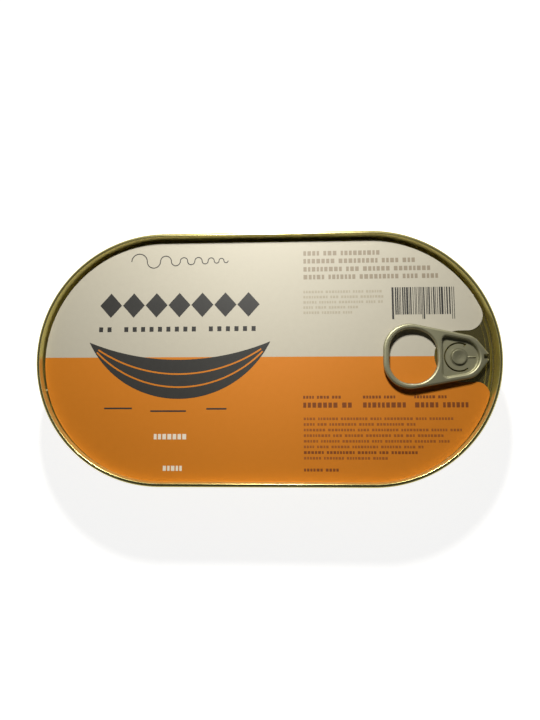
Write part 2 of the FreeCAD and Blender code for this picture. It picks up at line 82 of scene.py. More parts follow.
def cornerWire(bm, corners, place, closed, segments):
    # each corner is two distances and, if it is rounded, a radius
    points = [Vector(place(*corner[:2])) for corner in corners]
    verts = [bm.verts.new(point) for point in points]
    ahead = verts[1:] + verts[:1]
    for here, there in list(zip(verts, ahead))[:len(verts) if closed else -1]:
        bm.edges.new((here, there))
    for i, corner in enumerate(corners):
        if len(corner) < 3:
            continue
        before, after = points[i - 1], points[(i + 1) % len(points)]
        turn = (points[i] - before).angle(after - points[i])
        bmesh.ops.bevel(bm, geom=[verts[i]], offset=corner[2] * math.tan(turn / 2), offset_type="OFFSET",
                        affect="VERTICES", segments=segments, profile=0.5, material=-1)


def onPlan(x, y):
    return x, y, 0


def onSection(inset, height):
    # across the tin at the start of the near straight side
    return endCentre, inset - halfWide, height


def sweepRound(bm, steps):
    # carries the section round both ends and along both sides
    last = bm.verts[:] + bm.edges[:]
    for side in (1, -1):
        turned = bmesh.ops.spin(bm, geom=last, cent=(side * endCentre, 0, 0), axis=(0, 0, 1),
                                angle=math.pi, steps=steps)["geom_last"]
        edges = [item for item in turned if isinstance(item, bmesh.types.BMEdge)]
        last = bmesh.ops.extrude_edge_only(bm, edges=edges)["geom"]
        moved = [item for item in last if isinstance(item, bmesh.types.BMVert)]
        bmesh.ops.translate(bm, vec=(-2 * side * endCentre, 0, 0), verts=moved)
        last = [item for item in last if not isinstance(item, bmesh.types.BMFace)]
    closeUp(bm)


def closeUp(bm):
    bmesh.ops.remove_doubles(bm, verts=bm.verts, dist=weld)
    bmesh.ops.dissolve_degenerate(bm, dist=sliver, edges=bm.edges)
    bmesh.ops.recalc_face_normals(bm, faces=bm.faces)


def thicken(bm, faces, height):
    made = bmesh.ops.extrude_face_region(bm, geom=faces)["geom"]
    top = [item for item in made if isinstance(item, bmesh.types.BMVert)]
    bmesh.ops.translate(bm, vec=(0, 0, height), verts=top)


def mirrorHalf(bm):
    middle = [face for face in bm.faces if all(abs(vert.co.y) < weld for vert in face.verts)]
    bmesh.ops.delete(bm, geom=middle, context="FACES_ONLY")
    bmesh.ops.mirror(bm, geom=bm.verts[:] + bm.edges[:] + bm.faces[:], matrix=Matrix(), merge_dist=weld,
                     axis="Y")
    closeUp(bm)


def bevelEdges(bm, edges, offset, segments):
    bmesh.ops.bevel(bm, geom=edges, offset=offset, offset_type="OFFSET", affect="EDGES", segments=segments,
                    profile=0.5, clamp_overlap=False, material=-1)


def rimEdges(bm, upward, flat=0.9, upright=0.2):
    # edges between a flat face that looks up (or down) and an upright wall
    rims = []
    for edge in bm.edges:
        heights = sorted((face.normal.z * upward for face in edge.link_faces), reverse=True)
        if len(heights) == 2 and heights[0] > flat and abs(heights[1]) < upright:
            rims.append(edge)
    return rims


def addTo(bm, other):
    spare = bpy.data.meshes.new("spare")
    other.to_mesh(spare)
    other.free()
    bm.from_mesh(spare)
    bpy.data.meshes.remove(spare)


def finishPiece(bm, name, materials, node=None, crease=40):
    bmesh.ops.scale(bm, vec=(mm, mm, mm), verts=bm.verts)
    mesh = bpy.data.meshes.new(name)
    bm.to_mesh(mesh)
    bm.free()
    for material in materials:
        mesh.materials.append(material)
    mesh.shade_smooth()
    mesh.set_sharp_from_angle(angle=math.radians(crease))
    piece = bpy.data.objects.new(name, mesh)
    bpy.context.scene.collection.objects.link(piece)
    even = piece.modifiers.new("evenShading", "WEIGHTED_NORMAL")
    even.keep_sharp = True
    even.weight = 100
    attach(piece, "root")
    if node:
        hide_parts(node)
    print(f"{name}: {len(mesh.polygons)} faces")


# shader helpers

def paint(red, green, blue):
    # a screen colour, 0 to 255, as the shader's linear one
    levels = [value / 255 for value in (red, green, blue)]
    return [level / 12.92 if level < 0.04045 else ((level + 0.055) / 1.055) ** 2.4 for level in levels] + [1]


def feed(tree, node, inputs):
    for name, value in inputs.items():
        if isinstance(value, bpy.types.NodeSocket):
            tree.links.new(value, node.inputs[name])
        else:
            node.inputs[name].default_value = value


def addNode(tree, kind, inputs=None, **options):
    node = tree.nodes.new("ShaderNode" + kind)
    for name, value in options.items():
        setattr(node, name, value)
    feed(tree, node, inputs or {})
    return node


def maths(tree, operation, first, second=0.0, third=0.0, clamp=False):
    inputs = {0: first, 1: second, 2: third}
    return addNode(tree, "Math", inputs, operation=operation, use_clamp=clamp).outputs[0]


def mixColours(tree, amount, first, second):
    return addNode(tree, "Mix", {"Factor": amount, 6: first, 7: second}, data_type="RGBA").outputs[2]


def scaleColour(tree, colour, amount):
    return addNode(tree, "VectorMath", {0: colour, "Scale": amount}, operation="SCALE").outputs[0]


def placeOf(tree):
    # object coordinates in millimetres
    where = addNode(tree, "TexCoord").outputs["Object"]
    return addNode(tree, "Mapping", {"Vector": where, "Scale": (1000, 1000, 1000)}).outputs[0]


def newGroup(name, inputs, outputs):
    tree = bpy.data.node_groups.new(name, "ShaderNodeTree")
    for label, kind, value in inputs:
        socket = tree.interface.new_socket(name=label, in_out="INPUT", socket_type="NodeSocket" + kind)
        if value is not None:
            socket.default_value = value
    for label, kind in outputs:
        tree.interface.new_socket(name=label, in_out="OUTPUT", socket_type="NodeSocket" + kind)
    return tree, tree.nodes.new("NodeGroupInput").outputs, tree.nodes.new("NodeGroupOutput").inputs


def placeGroup(tree, group, inputs):
    node = tree.nodes.new("ShaderNodeGroup")
    node.node_tree = group
    feed(tree, node, inputs)
    return node.outputs


def makeLacquerGroup():
    # rolled sheet under lacquer: fine lines along the sheet, cloudy patches, and small bright specks that are
    # painted glints
    tree, given, result = newGroup(
        "lacqueredSheet",
        [("Place", "Vector", None), ("Lines", "Float", 0.5), ("Clouds", "Float", 0.5),
         ("GlintSpecks", "Float", 0.5)],
        [("Tone", "Float"), ("Rough", "Float"), ("GlintSpeck", "Float"), ("Height", "Float")])
    along = {0: given["Place"], 1: (0.12, 1, 1)}
    stretched = addNode(tree, "VectorMath", along, operation="MULTIPLY").outputs[0]
    lines = addNode(tree, "TexNoise", {"Vector": stretched, "Scale": 3.2, "Detail": 4,
                                       "Roughness": 0.6}).outputs[0]
    clouds = addNode(tree, "TexNoise", {"Vector": given["Place"], "Scale": 0.13, "Detail": 3}).outputs[0]
    # painted glints: scattered small specks where the colour is lightened
    cells = addNode(tree, "TexVoronoi", {"Vector": given["Place"], "Scale": 1.7, "Randomness": 1.0})
    speck = addNode(tree, "MapRange", {"Value": cells.outputs["Distance"], "From Min": 0.16,
                                       "From Max": 0.05}).outputs[0]
    drawn = addNode(tree, "SeparateColor", {0: cells.outputs["Color"]}).outputs[0]
    chosen = maths(tree, "GREATER_THAN", drawn, 0.7)
    glintSpeck = maths(tree, "MULTIPLY", maths(tree, "MULTIPLY", speck, chosen), given["GlintSpecks"], clamp=True)
    lineTone = maths(tree, "MULTIPLY_ADD", maths(tree, "SUBTRACT", lines, 0.5), given["Lines"], 1.0)
    cloudTone = maths(tree, "MULTIPLY", maths(tree, "SUBTRACT", clouds, 0.5), given["Clouds"])
    tree.links.new(maths(tree, "ADD", lineTone, cloudTone), result["Tone"])
    uneven = maths(tree, "MULTIPLY_ADD", clouds, 0.6, maths(tree, "MULTIPLY", lines, 0.4))
    tree.links.new(uneven, result["Rough"])
    tree.links.new(glintSpeck, result["GlintSpeck"])
    ridges = maths(tree, "MULTIPLY", lines, given["Lines"])
    tree.links.new(maths(tree, "ADD", ridges, glintSpeck), result["Height"])
    return tree


def makeWearAndShadeGroup():
    # bright rubbed spots where edges stand proud, and painted shade that darkens the hollows
    tree, given, result = newGroup(
        "rubbedEdgesAndHollowShade",
        [("Colour", "Color", None), ("Bare", "Color", None), ("Place", "Vector", None),
         ("Amount", "Float", 0.5), ("HollowShade", "Float", 0.5)],
        [("Colour", "Color")])
    pointed = addNode(tree, "NewGeometry").outputs["Pointiness"]
    proud = addNode(tree, "MapRange", {"Value": pointed, "From Min": 0.52, "From Max": 0.6}).outputs[0]
    # painted shade: the colour is darkened where the surface is hollow
    hollow = addNode(tree, "MapRange", {"Value": pointed, "From Min": 0.495, "From Max": 0.42}).outputs[0]
    patches = addNode(tree, "TexNoise", {"Vector": given["Place"], "Scale": 0.8, "Detail": 4}).outputs[0]
    broken = addNode(tree, "MapRange", {"Value": patches, "From Min": 0.5, "From Max": 0.66}).outputs[0]
    mask = maths(tree, "MULTIPLY", maths(tree, "MULTIPLY", proud, broken), given["Amount"], clamp=True)
    paintedShade = maths(tree, "MULTIPLY_ADD", maths(tree, "MULTIPLY", hollow, given["HollowShade"]), -0.8, 1.0)
    dimmed = scaleColour(tree, given["Colour"], paintedShade)
    tree.links.new(mixColours(tree, mask, dimmed, given["Bare"]), result["Colour"])
    return tree


def makePaperGroup():
    # coated paper: fibres under the print, a slightly mottled ink film
    tree, given, result = newGroup(
        "coatedPaper",
        [("Colour", "Color", None), ("Place", "Vector", None), ("Mottle", "Float", 0.06),
         ("Fibre", "Float", 0.5)],
        [("Colour", "Color"), ("Rough", "Float"), ("Height", "Float")])
    fibre = addNode(tree, "TexNoise", {"Vector": given["Place"], "Scale": 2.6, "Detail": 6, "Roughness": 0.7,
                                       "Distortion": 0.8}).outputs[0]
    mottle = addNode(tree, "TexNoise", {"Vector": given["Place"], "Scale": 0.55, "Detail": 3}).outputs[0]
    both = maths(tree, "MULTIPLY_ADD", fibre, 0.5, maths(tree, "MULTIPLY", mottle, 0.5))
    shade = maths(tree, "MULTIPLY_ADD", maths(tree, "SUBTRACT", both, 0.5), given["Mottle"], 1.0)
    tree.links.new(scaleColour(tree, given["Colour"], shade), result["Colour"])
    tree.links.new(both, result["Rough"])
    tree.links.new(maths(tree, "MULTIPLY", fibre, given["Fibre"]), result["Height"])
    return tree


lacquerGroup = makeLacquerGroup()
wearAndShadeGroup = makeWearAndShadeGroup()
paperGroup = makePaperGroup()


def newMaterial(name):
    material = bpy.data.materials.new(name)
    material.use_nodes = True
    tree = material.node_tree
    return material, tree, tree.nodes["Principled BSDF"]


def roughAndBump(tree, shader, look, rough, height):
    low, high = look["rough"]
    tree.links.new(maths(tree, "MULTIPLY_ADD", rough, high - low, low), shader.inputs["Roughness"])
    bump = addNode(tree, "Bump", {"Height": height, "Strength": 1.0, "Distance": look["bump"] * mm})
    tree.links.new(bump.outputs[0], shader.inputs["Normal"])


def makeMetal(name, look):
    material, tree, shader = newMaterial(name)
    place = placeOf(tree)
    sheet = placeGroup(tree, lacquerGroup, {"Place": place, "Lines": look["lines"], "Clouds": look["clouds"],
                                            "GlintSpecks": look["glintSpecks"]})
    toned = scaleColour(tree, look["colour"][:3], sheet["Tone"])
    # painted glints: bright specks mixed into the colour
    speckled = mixColours(tree, sheet["GlintSpeck"], toned, look["glintColour"])
    # rubbed wear on proud edges, and painted shade darkening the hollows
    wornAndShaded = placeGroup(tree, wearAndShadeGroup, {"Colour": speckled, "Bare": look["bare"], "Place": place,
                                        "Amount": look["wear"], "HollowShade": look["hollowShade"]})
    tree.links.new(wornAndShaded["Colour"], shader.inputs["Base Color"])
    roughAndBump(tree, shader, look, sheet["Rough"], sheet["Height"])
    shader.inputs["Metallic"].default_value = look["metallic"]
    shader.inputs["Coat Weight"].default_value = look["coat"]
    shader.inputs["Coat Roughness"].default_value = look["coatRough"]
    return material


def makePrint(name, colour, look):
    material, tree, shader = newMaterial(name)
    paper = placeGroup(tree, paperGroup, {"Colour": colour, "Place": placeOf(tree), "Mottle": look["mottle"],
                                          "Fibre": look["fibre"]})
    tree.links.new(paper["Colour"], shader.inputs["Base Color"])
    roughAndBump(tree, shader, look, paper["Rough"], paper["Height"])
    shader.inputs["Specular IOR Level"].default_value = look["specular"]
    return material, tree, paper


camera = {"aim": (1.49, -1.13), "tilt": 6.2, "pan": 2.57, "roll": -0.35, "distance": 170.8, "lens": 27.05,
          "clip": 10}


def makeCamera():
    data = bpy.data.cameras.new("camera")
    data.lens = camera["lens"]
    data.clip_start = camera["clip"] * mm
    eye = bpy.data.objects.new("camera", data)
    turn = (Matrix.Rotation(math.radians(camera["tilt"]), 3, "X")
            @ Matrix.Rotation(math.radians(camera["pan"]), 3, "Y")
            @ Matrix.Rotation(math.radians(camera["roll"]), 3, "Z"))
    place = Vector((*camera["aim"], canTop)) + turn @ Vector((0, 0, camera["distance"]))
    eye.matrix_world = Matrix.Translation(place * mm) @ turn.to_4x4()
    bpy.context.scene.collection.objects.link(eye)
    bpy.context.scene.camera = eye


light = {"place": (-5, 155, 172), "aim": (0, -8, 22), "size": 36, "power": 0.30, "spread": 119,
         "colour": (1.0, 0.985, 0.95), "fill": 0.015, "skyLow": 0.26, "skyHigh": 0.56, "overhead": 0.025,
         "nearFrom": -0.6, "nearTo": 0.1, "nearSide": 0.25}


def makeLight():
    data = bpy.data.lights.new("softLamp", "AREA")
    data.shape = "DISK"
    data.size = light["size"] * mm
    data.energy = light["power"]
    data.spread = math.radians(light["spread"])
    data.color = light["colour"]
    lamp = bpy.data.objects.new("softLamp", data)
    place = Vector(light["place"]) * mm
    lamp.location = place
    lamp.rotation_euler = (place - Vector(light["aim"]) * mm).to_track_quat("Z", "Y").to_euler()
    lamp.visible_camera = False
    bpy.context.scene.collection.objects.link(lamp)


def seenDirectly(tree):
    # 1 for rays that show the background, to the eye or in metal and glass
    path = addNode(tree, "LightPath").outputs
    shiny = maths(tree, "ADD", path["Is Glossy Ray"], path["Is Transmission Ray"], clamp=True)
    return maths(tree, "ADD", path["Is Camera Ray"], shiny, clamp=True)


def makeSky():
    world = bpy.data.worlds.new("studio")
    world.use_nodes = True
    bpy.context.scene.world = world
    tree = world.node_tree
    side = addNode(tree, "SeparateXYZ", {0: addNode(tree, "TexCoord").outputs["Generated"]}).outputs
    high = addNode(tree, "MapRange", {"Value": side["Z"], "From Min": light["skyLow"],
                                      "From Max": light["skyHigh"], "To Min": 1.0,
                                      "To Max": light["overhead"]}).outputs[0]
    # the near side of the room is darker than the side the lamp is on
    far = addNode(tree, "MapRange", {"Value": side["Y"], "From Min": light["nearFrom"],
                                     "From Max": light["nearTo"], "To Min": light["nearSide"],
                                     "To Max": 1.0}).outputs[0]
    shown = maths(tree, "MAXIMUM", maths(tree, "MULTIPLY", high, far),
                  addNode(tree, "LightPath").outputs["Is Camera Ray"])
    strength = addNode(tree, "Mix", {"Factor": seenDirectly(tree), 2: light["fill"], 3: shown}).outputs[0]
    tree.links.new(strength, tree.nodes["Background"].inputs["Strength"])
    tree.nodes["Background"].inputs["Color"].default_value = (1, 1, 1, 1)


ground = {"size": 6, "below": 0.02, "dark": paint(228, 227, 224), "pale": paint(232, 231, 228), "grain": 0.4,
          "rough": 0.8, "specular": 0.2, "glow": 0.88}


def makeFloor():
    bm = bmesh.new()
    bmesh.ops.create_grid(bm, x_segments=1, y_segments=1, size=ground["size"])
    mesh = bpy.data.meshes.new("floor")
    bm.to_mesh(mesh)
    bm.free()
    material, tree, shader = newMaterial("paleFloor")
    grain = addNode(tree, "TexNoise", {"Vector": placeOf(tree), "Scale": ground["grain"],
                                       "Detail": 3}).outputs[0]
    tree.links.new(mixColours(tree, grain, ground["dark"], ground["pale"]), shader.inputs["Base Color"])
    shader.inputs["Roughness"].default_value = ground["rough"]
    shader.inputs["Specular IOR Level"].default_value = ground["specular"]
    shader.inputs["Emission Color"].default_value = (1, 1, 1, 1)
    glow = maths(tree, "MULTIPLY", seenDirectly(tree), ground["glow"])
    tree.links.new(glow, shader.inputs["Emission Strength"])
    mesh.materials.append(material)
    floor = bpy.data.objects.new("floor", mesh)
    floor.location.z = -ground["below"] * mm
    bpy.context.scene.collection.objects.link(floor)


makeCamera()
makeLight()
makeSky()
makeFloor()
print("camera, light and floor ready")


# the drawn can
can = {"wall": 0.66, "wallTop": 21.6, "lean": 0.85, "foot": 2.2, "stand": 2.4, "step": 1.0, "rise": 0.8,
       "stepRound": 0.45, "bead": 14.0, "beadWide": 1.8, "beadRise": 0.35, "beadRound": 0.8, "underEnd": 19.9,
       "neck": 0.4, "neckIn": 0.7, "cornerSteps": 6, "steps": 96}
canLook = {"colour": (0.50, 0.375, 0.10, 1), "lines": 0.10, "clouds": 0.14, "glintSpecks": 0.1, "metallic": 1.0,
           "glintColour": (0.75, 0.68, 0.35, 1), "bare": (0.72, 0.70, 0.62, 1), "wear": 0.0, "hollowShade": 0.4,
           "rough": (0.20, 0.32), "bump": 0.001, "coat": 0.2, "coatRough": 0.12}


def makeCan():
    bm = bmesh.new()
    foot = can["wall"] + can["lean"]
    stand = foot + can["foot"] + can["stand"]
    bead, half = can["bead"], can["beadWide"] / 2
    cornerWire(bm, [
        (halfWide, can["rise"]),
        (bead + half, can["rise"], can["beadRound"]),
        (bead, can["rise"] + can["beadRise"], can["beadRound"]),
        (bead - half, can["rise"], can["beadRound"]),
        (stand + can["step"], can["rise"], can["stepRound"]),
        (stand, 0, can["stepRound"]),
        (foot, 0, can["foot"]),
        (can["wall"], can["wallTop"]),
        (can["wall"] + can["neck"], can["wallTop"]),
        (can["wall"] + can["neckIn"], can["underEnd"]),
        (halfWide, can["underEnd"]),
    ], onSection, closed=False, segments=can["cornerSteps"])
    sweepRound(bm, can["steps"])
    finishPiece(bm, "canShell", [makeMetal("canLacquer", canLook)], "can_body", crease=50)


makeCan()


# the easy-open end: seam, chuck wall, countersink, scored panel
end = {"seam": 1.18, "seamTall": 2.9, "gauge": 0.22, "curl": 0.22, "footRound": 0.1, "curlRound": 0.2,
       "crownOuter": 0.8, "crownInner": 0.22, "lean": 0.40, "flare": 0.34, "flareFoot": 2.0,
       "flareRound": 3.0, "sink": 4.0, "sinkWide": 1.2, "sinkRound": 0.5, "panel": 2.52, "panelLean": 0.2,
       "panelRound": 0.45, "score": 4.4, "scoreWide": 0.4, "scoreDeep": 0.09, "scoreRound": 0.1,
       "cornerSteps": 6, "steps": 128}
endLook = {"colour": (0.62, 0.55, 0.21, 1), "lines": 0.10, "clouds": 0.14, "glintSpecks": 0.35, "metallic": 0.92,
           "glintColour": (0.85, 0.78, 0.42, 1), "bare": (0.78, 0.75, 0.6, 1), "wear": 0.5, "hollowShade": 0.5,
           "rough": (0.22, 0.30), "bump": 0.001, "coat": 0.15, "coatRough": 0.2}
# on one lacquered sheet, the chuck wall's colour is painted lighter as painted reflection and the panel's
# darker as painted shade
wallPaintedLightLook = dict(endLook, colour=(0.74, 0.66, 0.24, 1), lines=0.04, glintSpecks=0.0, rough=(0.34, 0.40))
panelPaintedShadeLook = dict(endLook, colour=(0.50, 0.43, 0.17, 1), lines=0.20, glintSpecks=0.5, rough=(0.18, 0.26), coat=0.05)


def insetOf(point):
    # how far inside the tin's outline a point lies
    return halfWide - math.hypot(max(abs(point.x) - endCentre, 0), point.y)


def makeEnd():
    bm = bmesh.new()
    seam, gauge = end["seam"], end["gauge"]
    foot = canTop - end["seamTall"]
    sink = canTop - end["sink"]
    panel = canTop - end["panel"]
    wall = seam + end["lean"]
    inner = wall + end["sinkWide"]
    score, half = end["score"], end["scoreWide"] / 2
    cornerWire(bm, [
        (seam, foot),
        (end["curl"], foot, end["footRound"]),
        (0, foot + end["curl"], end["curlRound"]),
        (0, canTop, end["crownOuter"]),
        (seam, canTop, end["crownInner"]),
        (seam + end["flare"], canTop - end["flareFoot"], end["flareRound"]),
        (wall, sink, end["sinkRound"]),
        (inner, sink, end["sinkRound"]),
        (inner + end["panelLean"], panel, end["panelRound"]),
        (score - half, panel, end["scoreRound"]),
        (score, panel - end["scoreDeep"], end["scoreRound"]),
        (score + half, panel, end["scoreRound"]),
        (halfWide, panel),
        (halfWide, panel - gauge),
        (inner + gauge + end["panelLean"], panel - gauge),
        (inner + gauge, sink - gauge),
        (wall - gauge, sink - gauge),
    ], onSection, closed=True, segments=end["cornerSteps"])
    sweepRound(bm, end["steps"])
    # the seam, the chuck wall and the panel reflect differently; the wall's colour is painted lighter, a
    # painted reflection, and the panel's darker, a painted shade, on one lacquered sheet
    for face in bm.faces:
        middle = face.calc_center_median()
        if insetOf(middle) > wall:
            face.material_index = 2
        elif insetOf(middle) > seam and face.normal.dot(Vector((-middle.x, -middle.y, 0))) > 0:
            face.material_index = 1
    finishPiece(bm, "lidShell", [makeMetal("seamLacquer", endLook), makeMetal("wallLacquerPaintedLight", wallPaintedLightLook),
                                 makeMetal("panelLacquerPaintedShade", panelPaintedShadeLook)], "lid", crease=50)


makeEnd()


# the pull tab: curled ring and rails, pressed cup with its tongue
tab = {"ring": (10.35, 8.4), "shoulder": (46.3, 10.35, 7), "cheek": (65.65, 6.5, 5.0), "nose": (1.0, 0.9),
       "noseOut": 0.3, "hole": (39.0, 6.6, 54.0, 7.5, 8.6), "cup": (55.5, 6.7, 1.3), "cupEnd": (61.35, 5.55),
       "thick": 1.45, "fall": 0.35, "curlTop": 0.70, "curlUnder": 0.60, "cupTop": 0.6, "curlSteps": 7,
       "planSteps": 20, "planWeld": 0.01, "floor": 22.6, "sheet": 0.35, "cupFillet": 0.25, "filletSteps": 5,
       "panSteps": 16, "flat": 0.02, "inside": 0.02, "slotRound": 4.45, "slotWide": 0.5, "slotFrom": 60,
       "slotTo": 308, "slotSteps": 56, "slotEnd": 0.45, "slotEndSteps": 4, "nick": 0.8,
       "rib": (63.4, 66.1, 0.5, 0.24), "ribRound": 0.9, "ribSteps": 4, "notch": (0.95, 0.3, 1.8, 0.4, 1.3),
       "turn": -1.0, "aside": -0.35}
tabLook = {"colour": (0.36, 0.345, 0.22, 1), "lines": 0.06, "clouds": 0.06, "glintSpecks": 0.0, "metallic": 0.85,
           "glintColour": (1, 1, 1, 1), "bare": (0.80, 0.80, 0.76, 1), "wear": 0.35, "hollowShade": 0.75,
           "rough": (0.44, 0.54), "bump": 0.002, "coat": 0.0, "coatRough": 0.2}
panLook = dict(tabLook, wear=0.0, hollowShade=0.0, rough=(0.48, 0.58))


# the rivet that holds the tab: drawn from the panel, clinched and dimpled
rivet = {"x": 60.88, "boss": 4.2, "bossLean": 0.8, "bossSunk": 0.1, "bossRound": 0.1, "bossTopRound": 0.2,
         "below": 0.01, "above": 0.02, "shank": 1.75, "collar": 2.85, "collarTall": 0.09, "collarRound": 0.05,
         "head": 2.4, "tall": 0.5, "edge": 0.14, "dimple": 1.95, "dimpleRound": 0.6, "dimpleFoot": 0.3,
         "dimpleFootRound": 0.7, "deep": 0.14, "cornerSteps": 5, "steps": 64}
rivetLook = dict(panLook, colour=(0.27, 0.26, 0.165, 1))


def cupCorners(inside):
    # half of the cup's outline, from its nose end to its straight side
    left, side, corner = tab["cup"]
    centre, radius = tab["cupEnd"]
    left, side, radius = left + inside, side - inside, radius - inside
    reach = math.hypot(centre - left, side)
    slope = math.asin(radius / reach) - math.atan2(side, centre - left)
    right = centre + radius
    # a hair under the full radius, so that the arc and its mirror image don't cross
    nearFull = radius * 0.995
    return [(right, 0), (right, side + (right - left) * math.tan(slope), nearFull), (left, side, corner)]


def facesCup(edge):
    # whether the upright wall at this edge looks into the cup
    wall = min(edge.link_faces, key=lambda face: abs(face.normal.z))
    middle = (edge.verts[0].co + edge.verts[1].co) / 2
    inward = Vector((tab["cupEnd"][0], 0, middle.z)) - middle
    return middle.x > tab["cup"][0] - 0.1 and wall.normal.dot(inward) > 0


def makeRing():
    bm = bmesh.new()
    back, nose = tabLow.x, tabHigh.x + tab["noseOut"]
    holeLeft, leftRound, holeRight, rightRound, holeHalf = tab["hole"]
    noseHalf, noseRound = tab["nose"]
    cornerWire(bm, [
        (back, 0),
        (back, *tab["ring"]),
        tab["shoulder"],
        tab["cheek"],
        (nose, noseHalf, noseRound),
        (nose, 0),
        *cupCorners(0),
        (tab["cup"][0], 0),
        (holeRight, 0),
        (holeRight, holeHalf, rightRound),
        (holeLeft, holeHalf, leftRound),
        (holeLeft, 0),
    ], onPlan, closed=True, segments=tab["planSteps"])
    bmesh.ops.remove_doubles(bm, verts=bm.verts, dist=tab["planWeld"])
    plan = bmesh.ops.edgeloop_fill(bm, edges=bm.edges)["faces"]
    thicken(bm, plan, -tab["thick"])
    mirrorHalf(bm)
    bevelEdges(bm, [edge for edge in rimEdges(bm, 1) if facesCup(edge)], tab["cupTop"], tab["curlSteps"])
    bm.normal_update()
    bevelEdges(bm, rimEdges(bm, 1), tab["curlTop"], tab["curlSteps"])
    bm.normal_update()
    bevelEdges(bm, rimEdges(bm, -1), tab["curlUnder"], tab["curlSteps"])
    closeUp(bm)
    return bm


def slotWire(bm):
    # the C that frees the tongue, with a nick where it starts and a round end
    centre = Vector((rivet["x"], 0, 0))
    oldEdges, oldFaces = set(bm.edges), set(bm.faces)
    start = math.radians(tab["slotFrom"])
    out = Vector((math.cos(start), math.sin(start), 0))
    inner = bm.verts.new(centre + out * (tab["slotRound"] - tab["slotWide"] / 2))
    outer = bm.verts.new(centre + out * (tab["slotRound"] + tab["slotWide"] / 2))
    first = bm.edges.new((inner, outer))
    sweep = math.radians(tab["slotTo"] - tab["slotFrom"])
    made = bmesh.ops.spin(bm, geom=[inner, outer, first], cent=centre, axis=(0, 0, 1), angle=sweep,
                          steps=tab["slotSteps"])["geom_last"]
    nicked = next(edge.other_vert(inner) for edge in inner.link_edges if edge is not first)
    nicked.co += (centre - nicked.co).normalized() * tab["nick"]
    rungs = [edge for edge in set(bm.edges) - oldEdges if len(edge.link_faces) == 2]
    bmesh.ops.delete(bm, geom=list(set(bm.faces) - oldFaces), context="FACES_ONLY")
    bmesh.ops.delete(bm, geom=rungs, context="EDGES")
    bmesh.ops.bevel(bm, geom=[item for item in made if isinstance(item, bmesh.types.BMVert)],
                    offset=tab["slotWide"] * tab["slotEnd"], offset_type="OFFSET", affect="VERTICES",
                    segments=tab["slotEndSteps"], profile=0.5, material=-1)
    return [edge for edge in bm.edges if not edge.link_faces]


def makePan():
    # the cup's wall and floor, one sheet with the slot through it
    bm = bmesh.new()
    half = cupCorners(tab["inside"])
    otherHalf = [(x, -y, *rest) for x, y, *rest in half[:0:-1]]
    cornerWire(bm, half[1:] + otherHalf, onPlan, closed=True, segments=tab["panSteps"])
    bmesh.ops.remove_doubles(bm, verts=bm.verts, dist=tab["planWeld"])
    outline = bm.edges[:]
    bmesh.ops.triangle_fill(bm, edges=slotWire(bm), use_beauty=True)
    bmesh.ops.dissolve_limit(bm, angle_limit=tab["flat"], verts=bm.verts, edges=bm.edges)
    walls = bmesh.ops.extrude_edge_only(bm, edges=outline)["geom"]
    brim = [item for item in walls if isinstance(item, bmesh.types.BMVert)]
    rise = tabHigh.z - tab["fall"] - tab["cupTop"] - tab["floor"]
    bmesh.ops.translate(bm, vec=(0, 0, rise), verts=brim)
    bevelEdges(bm, [edge for edge in outline if edge.is_valid], tab["cupFillet"], tab["filletSteps"])
    bmesh.ops.recalc_face_normals(bm, faces=bm.faces)
    if sum(face.normal.z * face.calc_area() for face in bm.faces) < 0:
        bmesh.ops.reverse_faces(bm, faces=bm.faces)
    bmesh.ops.solidify(bm, geom=bm.faces[:], thickness=tab["sheet"])
    bm.normal_update()
    bmesh.ops.translate(bm, vec=(0, 0, tab["floor"]), verts=bm.verts)
    return bm


def makeRib():
    left, right, wide, tall = tab["rib"]
    bm = bmesh.new()
    bmesh.ops.create_cube(bm, size=1, matrix=Matrix.Translation(((left + right) / 2, 0, tab["floor"]))
                          @ Matrix.Diagonal((right - left, wide, tall * 2, 1)))
    bevelEdges(bm, rimEdges(bm, 1), min(tall, wide / 2) * tab["ribRound"], tab["ribSteps"])
    return bm


def notchNose(bm):
    # the groove where the two curled rails meet, open to the front
    half, flat, long, ramp, deep = tab["notch"]
    start = tabHigh.x + tab["noseOut"] - long
    for place in (start, start + ramp):
        bmesh.ops.bisect_plane(bm, geom=bm.verts[:] + bm.edges[:] + bm.faces[:], dist=sliver,
                               plane_co=(place, 0, 0), plane_no=(1, 0, 0))
    for place in (half, flat, 0, -flat, -half):
        tip = [face for face in bm.faces if face.calc_center_median().x > start]
        geom = list({item for face in tip for item in (face, *face.edges, *face.verts)})
        bmesh.ops.bisect_plane(bm, geom=geom, dist=sliver, plane_co=(0, place, 0), plane_no=(0, 1, 0))
    for vert in bm.verts:
        run = min(1, (vert.co.x - start) / ramp)
        across = min(1, (half - abs(vert.co.y)) / (half - flat))
        if run > 0 and across > 0:
            vert.co.z -= deep * run * across * (1 + vert.co.z / tab["thick"])


def makeTab():
    bm = makeRing()
    notchNose(bm)
    lean = Matrix.Identity(4)
    lean[2][0] = -tab["fall"] / (tabHigh.x - tabLow.x)
    bmesh.ops.transform(bm, matrix=Matrix.Translation((0, 0, tabHigh.z)) @ lean
                        @ Matrix.Translation((-tabLow.x, 0, 0)), verts=bm.verts)
    bmesh.ops.translate(bm, vec=(tabLow.x, 0, 0), verts=bm.verts)
    ringFaces = len(bm.faces)
    addTo(bm, makePan())
    addTo(bm, makeRib())
    bm.faces.ensure_lookup_table()
    for face in bm.faces[ringFaces:]:
        face.material_index = 1
    hinge = Vector((rivet["x"], 0, 0))
    askew = Matrix.Rotation(math.radians(tab["turn"]), 3, "Z")
    bmesh.ops.rotate(bm, verts=bm.verts, cent=hinge, matrix=askew)
    bmesh.ops.translate(bm, vec=(0, tab["aside"], 0), verts=bm.verts)
    bm.normal_update()
    finishPiece(bm, "pullTab", [makeMetal("satinTab", tabLook), makeMetal("satinPan", panLook)],
                "pull_tab", crease=35)


makeTab()


